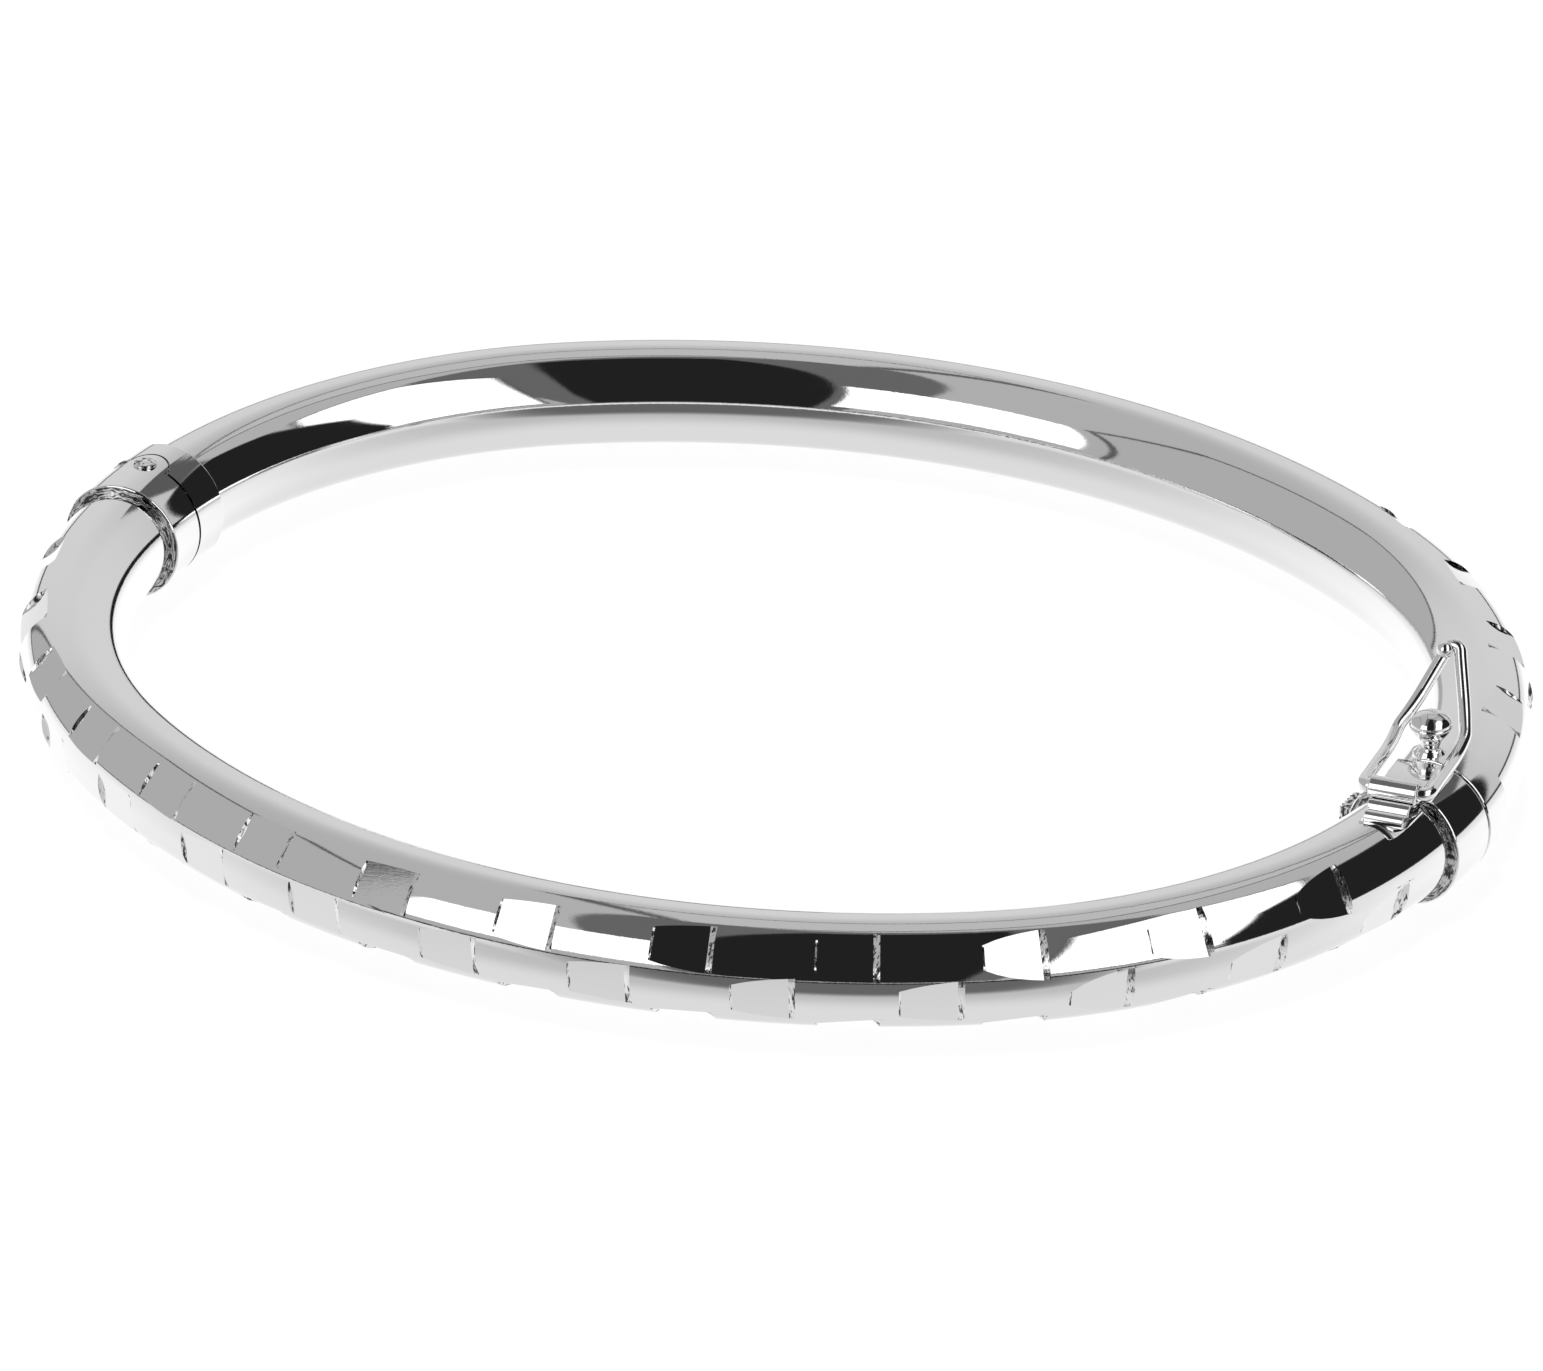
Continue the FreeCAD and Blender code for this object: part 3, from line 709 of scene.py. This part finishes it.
def true_normals(piece, place, side, materials):
    """Gives the collar's round faces the normals of their own surface, and slots to the rest."""
    mesh = piece.data
    mesh.materials.clear()
    for material in materials:
        mesh.materials.append(material)
    normals = [None] * len(mesh.loops)
    arc_centre = Vector((END_CENTRE if place == "clasp" else -END_CENTRE, 0, MID)) * MM

    def skin_normal(point):
        flat = Vector((point.x - arc_centre.x, point.y, 0))
        middle = arc_centre + flat.normalized() * END_RADIUS * MM
        return point - middle

    for face in mesh.polygons:
        face.use_smooth = True
        face.material_index = 1 if abs(face.normal.y) > 0.9 else 0
        for index in face.loop_indices:
            point = mesh.vertices[mesh.loops[index].vertex_index].co
            ray = skin_normal(point)
            away = Vector((point.x - HINGE.x * MM, point.y, 0))
            normal = face.normal
            if abs(ray.length / MM - COLLAR_R) < 0.004 and ray.normalized().dot(face.normal) > 0.97:
                normal = ray.normalized()
            elif away.length / MM < 1.3 and abs(away.normalized().dot(face.normal)) > 0.98:
                sign = 1 if away.dot(face.normal) > 0 else -1
                normal = away.normalized() * sign
            normals[index] = normal
    mesh.normals_split_custom_set(normals)


def seam_side(side, angle):
    """Outline of where one half may have metal by the hinge: behind its relief."""
    reach = 9.0
    x = HINGE.x
    lean = radians(angle)
    back = side * (SEAM_GAP + SEAM_EASE)
    return [(x, back), (x + reach, back), (x + reach, side * reach),
            (x - reach * cos(lean), side * reach), (x - reach * cos(lean), side * reach * sin(lean))]


def hinge_collar(side):
    name = "rear_hinge_collar" if side > 0 else "front_hinge_collar"
    length = HINGE_COLLAR_REAR if side > 0 else HINGE_COLLAR_FRONT
    ring = ring_collar(name + "_fine", "hinge", side, -1.5, length)
    region = prism("region", seam_side(side, NOTCH_REAR if side > 0 else BEVEL_FRONT),
                   MID - 4, MID + 4)
    if side > 0:
        for low, high in ((LEAF_HALF, 5), (-5, -LEAF_HALF)):
            tool = round_prism("tool", EAR_R + EAR_RECESS, MID + low, MID + high)
            carve(region, "DIFFERENCE", tool)
    else:
        for low, high in ((LEAF_HALF + 0.05, 3.9), (-3.9, -LEAF_HALF - 0.05)):
            tool = round_prism("tool", EAR_R - EAR_SHRINK, MID + low, MID + high)
            carve(region, "UNION", tool)
        counterbore = round_prism("tool", PIN_HEAD_R + 0.01, MID + PIN_TOP, MID + 5)
        carve(region, "DIFFERENCE", counterbore)
        carve(region, "DIFFERENCE", round_prism("tool", PIN_R + 0.02, MID - 5, MID + 3))
    carve(ring, "INTERSECT", region)
    end = collar_point("hinge", side, length)[0]
    true_normals(ring, "hinge", side, [POLISH, lined_end(name + "_end", end)])
    return ring


def clasp_collar(side):
    name = "rear_clasp_collar" if side > 0 else "front_clasp_collar"
    length = CLASP_COLLAR_REAR if side > 0 else CLASP_COLLAR_FRONT
    ring = ring_collar(name + "_fine", "clasp", side, SEAM_GAP, length)
    if side < 0:
        inner, outer = CLASP.x - 4, CLASP.x - 0.7
        outline = [(inner, -NOTCH_REACH), (outer, -NOTCH_REACH), (outer, 1), (inner, 1)]
        carve(ring, "DIFFERENCE", prism("tool", outline, MID - NOTCH_HALF, MID + NOTCH_HALF))
    end = collar_point("clasp", side, length)[0]
    true_normals(ring, "clasp", side, [POLISH, lined_end(name + "_end", end)])
    return ring


# ---- turned pieces, wire and strip ------------------------------------------------------
def turned(name, axis_point, profile, materials, around=72):
    """Solid of revolution about a vertical axis; profile is (radius, height) from the top."""
    skin = Skin()
    rings = []
    for index, (radius, height) in enumerate(profile):
        before = profile[max(0, index - 1)]
        after = profile[min(len(profile) - 1, index + 1)]
        slope = Vector((before[1] - after[1], after[0] - before[0])).normalized()
        rays = [Vector((cos(2 * pi * i / around), sin(2 * pi * i / around), 0))
                for i in range(around)]
        points = [axis_point + ray * radius + UP * height for ray in rays]
        normals = [ray * slope.x + UP * slope.y for ray in rays]
        rings.append((skin.add_points(points), normals))
    for a, b in zip(rings, rings[1:]):
        skin.strip(a[0], b[0], a[1], b[1])
    top, bottom = rings[0], rings[-1]
    skin.face(top[0], [UP] * around)
    skin.face(bottom[0], [-UP] * around)
    return skin.make(name, materials)


def arc_profile(centre, radius_x, radius_z, start, end, steps):
    return [(centre[0] + radius_x * cos(radians(start + (end - start) * i / steps)),
             centre[1] + radius_z * sin(radians(start + (end - start) * i / steps)))
            for i in range(steps + 1)]


def knob():
    """Oblate head, drawn in to a waisted neck and a stem."""
    rim = 0.09
    dome = arc_profile((0, KNOB_MIDDLE + 0.05), KNOB_R - 0.03, KNOB_HALF_HEIGHT - 0.05, 88, 12, 26)
    edge = arc_profile((KNOB_R - rim, KNOB_MIDDLE), rim, rim, 60, -70, 8)
    profile = dome + edge + [(0.86, 3.96), (0.72, 3.76), (0.60, 3.60), (0.52, 3.48), (0.47, 3.36)]
    profile += [(0.44, 3.22), (0.43, 3.08), (0.42, 2.6)]
    axis = Vector((KNOB_CENTRE.x, KNOB_CENTRE.y, MID))
    return turned("safety_knob_fine", axis, profile, [TURNED])


def knob_seat():
    profile = [(0.44, 3.13), (0.50, 3.12), (0.56, 3.09), (0.62, 3.02), (0.67, 2.94), (0.74, 2.87),
               (0.78, 2.8), (0.79, 2.6)]
    axis = Vector((KNOB_CENTRE.x, KNOB_CENTRE.y, MID))
    return turned("safety_knob_seat_fine", axis, profile, [TURNED])


def pin():
    """Riveted pin: low dome over a short head, and the shaft."""
    profile = [(0.01, 3.06)] + arc_profile((0.36, 2.93), 0.185, 0.115, 80, 0, 8)
    profile += [(PIN_HEAD_R, 2.86), (PIN_HEAD_R - 0.005, PIN_TOP), (PIN_R, PIN_TOP),
                (PIN_R, -PIN_END)]
    return turned("hinge_pin_fine", Vector((HINGE.x, HINGE.y, MID)), profile, [RIVETED])


def loop_point(across, ahead, above):
    return KNUCKLE + LOOP_SIDE * across + LOOP_AHEAD * ahead + UP * above


def profile_point(length):
    """Side view of the loop: level, then an arc upwards, then straight to the tip."""
    if length <= LOOP_FLAT:
        return length, 0.0
    bend = min((length - LOOP_FLAT) / LOOP_BEND_R, radians(LOOP_BEND))
    rest = length - LOOP_FLAT - bend * LOOP_BEND_R
    return (LOOP_FLAT + LOOP_BEND_R * sin(bend) + rest * cos(bend),
            LOOP_BEND_R * (1 - cos(bend)) + rest * sin(bend))


def half_width(length):
    if length <= LOOP_TAPER_START:
        return LOOP_HALF
    share = (length - LOOP_TAPER_START) / (LOOP_LENGTH - LOOP_TAPER_START)
    return LOOP_HALF + (LOOP_TIP_R - LOOP_HALF) * share


def loop_path():
    """Middle of the wire, once round: across the knuckle, up one side, round the tip, back."""
    flat = LOOP_HALF - LOOP_CORNER
    right = [(flat * i / 6, 0.0) for i in range(6)]
    for step in range(9):
        turn = radians(90 * step / 8)
        right.append((flat + LOOP_CORNER * sin(turn), LOOP_CORNER * (1 - cos(turn))))
    steps = 60
    for step in range(1, steps + 1):
        length = LOOP_CORNER + (LOOP_LENGTH - LOOP_CORNER) * step / steps
        right.append((half_width(length), length))
    for step in range(1, 10):
        turn = radians(90 * step / 9)
        right.append((LOOP_TIP_R * cos(turn), LOOP_LENGTH + LOOP_TIP_R * sin(turn)))
    left = [(-across, length) for across, length in right[-2:0:-1]]
    flat_path = right + left
    for _ in range(3):
        flat_path = [tuple((a + 2 * b + c) / 4 for a, b, c in zip(p, q, r)) for p, q, r in
                     zip(flat_path[-1:] + flat_path[:-1], flat_path, flat_path[1:] + flat_path[:1])]
    return [loop_point(across, *profile_point(length)) for across, length in flat_path]


def safety_loop():
    path = loop_path()
    around = 28
    skin = Skin()
    rings = []
    count = len(path)
    lead = UP.copy()
    for i, point in enumerate(path):
        along = (path[(i + 1) % count] - path[i - 1]).normalized()
        lead = (lead - along * lead.dot(along)).normalized()
        other = along.cross(lead)
        rays = [lead * cos(2 * pi * k / around) + other * sin(2 * pi * k / around)
                for k in range(around)]
        rings.append((skin.add_points([point + ray * WIRE_R for ray in rays]), rays))
    first_rays, last_rays = rings[0][1], rings[-1][1]
    shift = max(range(around), key=lambda k: last_rays[0].dot(first_rays[k]))
    for a, b in zip(rings, rings[1:]):
        skin.strip(a[0], b[0], a[1], b[1])
    turned_ring = [rings[0][0][(k + shift) % around] for k in range(around)]
    turned_rays = [first_rays[(k + shift) % around] for k in range(around)]
    skin.strip(rings[-1][0], turned_ring, last_rays, turned_rays)
    return skin.make("safety_loop_fine", [WIRE])


def tip_bead():
    """Solder bead on the upper side of the wire, at the left end of the tip."""
    bend = radians(LOOP_BEND)
    over = LOOP_SIDE.cross(LOOP_AHEAD * cos(bend) + UP * sin(bend))
    centre = loop_point(-LOOP_TIP_R, *profile_point(LOOP_LENGTH)) + over * BEAD_OFFSET
    profile = arc_profile((0, 0), BEAD_R, BEAD_R, 89, -89, 28)
    return turned("safety_tip_bead_fine", centre, profile, [WIRE], around=48)


def ribbon(name, outline, half, materials, edge=0.06):
    """Closed outline in the loop's side view (ahead, above), drawn out along the knuckle.

    half gives the half width at a distance ahead."""
    points, faces = [], []
    count = len(outline)
    for sign in (-1, 1):
        for ahead, above in outline:
            points.append(loop_point(sign * half(ahead), ahead, above))
    faces.append(tuple(range(count)))
    faces.append(tuple(range(count, 2 * count))[::-1])
    for i in range(count):
        j = (i + 1) % count
        faces.append((i, j, count + j, count + i))
    made = mesh_object(name, points, faces, materials)
    face_outwards(made)
    soften(made, edge)
    return made


def soften(piece, width, angle=40, segments=3):
    """Rounds the sharp edges of a piece and shades it smooth."""
    bevel = piece.modifiers.new("round", "BEVEL")
    bevel.width, bevel.segments = width * MM, segments
    bevel.limit_method, bevel.angle_limit = "ANGLE", radians(angle)
    bevel.harden_normals = True
    for face in piece.data.polygons:
        face.use_smooth = True
    graph = bpy.context.evaluated_depsgraph_get()
    mesh = bpy.data.meshes.new_from_object(piece.evaluated_get(graph))
    piece.modifiers.clear()
    piece.data = mesh


def knuckle():
    """Rolled knuckle with a bore for the wire and softened rims."""
    skin = Skin()
    around, half, rim = 56, KNUCKLE_HALF, KNUCKLE_RIM
    outer, inner = KNUCKLE_R, KNUCKLE_BORE
    profile = [(-half, inner + 0.02), (-half, outer - rim)]
    for step in range(1, 5):
        turn = radians(90 * step / 4)
        profile.append((-half + rim * (1 - cos(turn)), outer - rim * (1 - sin(turn))))
    for step in range(4, -1, -1):
        turn = radians(90 * step / 4)
        profile.append((half - rim * (1 - cos(turn)), outer - rim * (1 - sin(turn))))
    profile += [(half, inner + 0.02), (half - 0.03, inner), (-half + 0.03, inner)]
    rings = []
    count = len(profile)
    for index, (across, radius) in enumerate(profile):
        before, after = profile[index - 1], profile[(index + 1) % count]
        slope = Vector((before[1] - after[1], after[0] - before[0])).normalized()
        rays = [LOOP_AHEAD * cos(2 * pi * k / around) + UP * sin(2 * pi * k / around)
                for k in range(around)]
        points = [KNUCKLE + LOOP_SIDE * across + ray * radius for ray in rays]
        normals = [LOOP_SIDE * slope.x + ray * slope.y for ray in rays]
        rings.append((skin.add_points(points), normals))
    for a, b in zip(rings, rings[1:] + rings[:1]):
        skin.strip(a[0], b[0], a[1], b[1])
    return skin.make("safety_knuckle_fine", [WIRE])


def saddle():
    """Folded strap under the knuckle: a plate on the collar, then two rolled folds and a foot."""
    outline = [(3.55, -0.30), (2.6, -0.26), (1.2, -0.27), (0.45, -0.36)]
    outline += [(0.56 * cos(radians(a)), 0.56 * sin(radians(a))) for a in range(-45, -150, -15)]
    outline += [(-0.62 + 0.38 * cos(radians(a)), -0.62 + 0.38 * sin(radians(a)))
                for a in range(100, 200, 20)]
    outline += [(-1.32 + 0.32 * cos(radians(a)), -0.80 + 0.32 * sin(radians(a)))
                for a in range(90, 260, 20)]
    outline += [(-1.0, -1.22), (0.3, -1.15), (1.0, -0.62), (3.55, -0.62)]

    def half(ahead):
        return 1.02 - 0.10 * max(0.0, min(1.0, (-0.5 - ahead) / 0.8))
    return ribbon("safety_saddle_fine", outline, half, [WIRE])


# ---- thumb pad ---------------------------------------------------------------------------
def thumb_pad():
    """Raised pad with cross ridges for the thumbnail."""
    low, high = box_mm("thumb_pad")
    ridges, per = 6, 8
    outline = [(high.x, high.y), (high.x, low.y)]
    count = ridges * per
    for i in range(count + 1):
        share = i / count
        wave = 0.5 - 0.5 * cos(2 * pi * ridges * share)
        ends = min(1.0, min(share, 1 - share) / 0.10)
        x = low.x + 0.10 - 0.10 * wave + 0.18 * (1 - sqrt(max(0.0, 1 - (1 - ends)**2)))
        outline.append((x, low.y + (high.y - low.y) * share))
    made = prism("thumb_pad_fine", outline, low.z, high.z)
    made.data.materials.append(KNURLED)
    soften(made, 0.07, angle=50)
    return made


# ---- CAD nodes that stay ----------------------------------------------------------------
def dress(node, material):
    """Finishes a CAD node that no finer piece replaces."""
    data = frame["nodes"][node].data
    data.materials.clear()
    data.materials.append(material)


# ---- assembly ---------------------------------------------------------------------------
add_camera()
bpy.context.scene.view_settings.view_transform = "Standard"
world_light()
add_floor()
add_lamp("key_lamp", (-250, 150, 900), 700, 9.0)

TUBE_SPAN = (CLASP_SOCKET, HALF_PERIMETER - HINGE_SOCKET)
rear = facetted_tube("rear_tube_fine", 1, rear_marks(), *TUBE_SPAN)
front = facetted_tube("front_tube_fine", -1, front_marks(), *TUBE_SPAN)
fit(rear, "rear_half", "bright_cut_tube", "rear_tube")
fit(front, "front_half", "bright_cut_tube", "front_tube")
fit(hinge_collar(1), "rear_half", "polished_collar", "rear_hinge_collar")
fit(hinge_collar(-1), "front_half", "polished_collar", "front_hinge_collar")
fit(clasp_collar(1), "rear_half", "polished_collar", "rear_clasp_collar")
fit(clasp_collar(-1), "front_half", "polished_collar", "front_clasp_collar")
fit(pin(), "front_half", "turned_metal", "hinge_pin")
fit(knob(), "rear_half", "turned_metal", "safety_knob")
fit(knob_seat(), "rear_half", "turned_metal", "safety_knob_seat")
fit(safety_loop(), "safety_loop", "catch_metal", "safety_loop")
fit(tip_bead(), "safety_loop", "catch_metal", "safety_tip_bead")
fit(knuckle(), "front_half", "catch_metal", "safety_knuckle")
fit(saddle(), "front_half", "catch_metal", "safety_saddle")
fit(thumb_pad(), "tongue_spring", "spring_metal", "thumb_pad")
for kept in ("rear_hinge_leaf", "front_hinge_ears", "rear_clasp_plug", "front_clasp_plug",
             "clasp_box"):
    dress(kept, JOINT)
for kept in ("tongue_base_leaf", "tongue_spring_leaf"):
    dress(kept, SPRING)
